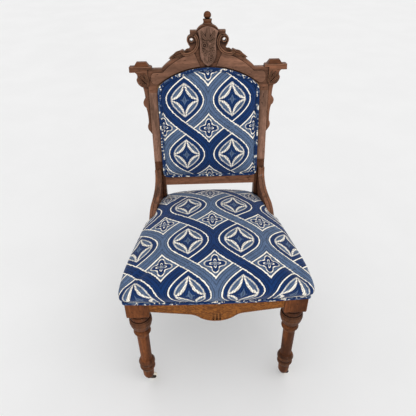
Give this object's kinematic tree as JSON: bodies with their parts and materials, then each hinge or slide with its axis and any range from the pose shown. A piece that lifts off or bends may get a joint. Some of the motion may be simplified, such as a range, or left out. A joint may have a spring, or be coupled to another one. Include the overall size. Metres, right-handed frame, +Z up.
{
  "type": "parlour side chair",
  "caption": "Armless parlour side chair with a carved walnut frame, sprung padded seat, padded arched back panel and casters under the turned front legs.",
  "frame": {"origin": "on the floor, under the middle of the chair's outer box", "axes": "+Z up, the chair faces -Y, +X is the right side seen from the front"},
  "size_m": [0.502, 0.546, 0.9829],
  "materials": {
    "walnut": "semi-gloss polish",
    "secondary_wood": "bare",
    "upholstery": "woven trellis, navy, slate and cream",
    "welt": "self-covered cord",
    "webbing": "jute",
    "burlap": "coarse weave",
    "stuffing": "fibre",
    "cambric": "matt",
    "spring_steel": "oiled",
    "iron": "blackened",
    "porcelain": "glazed"
  },
  "bodies": {
    "frame": {"back_burlap": "burlap", "back_cover": "upholstery", "back_frame_dowels": "secondary_wood", "back_stuffing": "stuffing", "back_webbing": "webbing", "back_welt": "welt", "corner_blocks": "secondary_wood", "corner_screws": "spring_steel", "crest_finial": "walnut", "crest_rail": "walnut", "crest_shield": "walnut", "dust_cover": "cambric", "front_seat_rail": "walnut", "left_caster_socket": "iron", "left_ear": "walnut", "left_ear_cap": "walnut", "left_front_leg": "walnut", "left_hip_bracket": "walnut", "left_rear_post": "walnut", "left_seat_rail": "walnut", "left_stile_trim": "walnut", "lower_back_rail": "walnut", "outside_back_cover": "upholstery", "outside_back_welt": "welt", "rear_seat_rail": "secondary_wood", "right_caster_socket": "iron", "right_ear": "walnut", "right_ear_cap": "walnut", "right_front_leg": "walnut", "right_hip_bracket": "walnut", "right_rear_post": "walnut", "right_seat_rail": "walnut", "right_stile_trim": "walnut", "seat_burlap": "burlap", "seat_cover": "upholstery", "seat_frame_dowels": "secondary_wood", "seat_springs": "spring_steel", "seat_stuffing": "stuffing", "seat_webbing": "webbing", "seat_welt": "welt"},
    "left_caster": {"left_caster_axle": "iron", "left_caster_horn": "iron"},
    "left_wheel": {"left_caster_wheel": "porcelain"},
    "right_caster": {"right_caster_axle": "iron", "right_caster_horn": "iron"},
    "right_wheel": {"right_caster_wheel": "porcelain"}
  },
  "joints": [
    {"name": "left_caster_swivel", "type": "hinge", "parent": "frame", "child": "left_caster", "pos_m": [-0.21, -0.226, 0.03], "axis": [0, 0, 1], "continuous": true},
    {"name": "left_wheel_spin", "type": "hinge", "parent": "left_caster", "child": "left_wheel", "pos_m": [-0.19771, -0.2174, 0.011], "axis": [0.5736, -0.8192, 0], "continuous": true},
    {"name": "right_caster_swivel", "type": "hinge", "parent": "frame", "child": "right_caster", "pos_m": [0.21, -0.226, 0.03], "axis": [0, 0, 1], "continuous": true},
    {"name": "right_wheel_spin", "type": "hinge", "parent": "right_caster", "child": "right_wheel", "pos_m": [0.22229, -0.2174, 0.011], "axis": [0.5736, -0.8192, 0], "continuous": true}
  ]
}
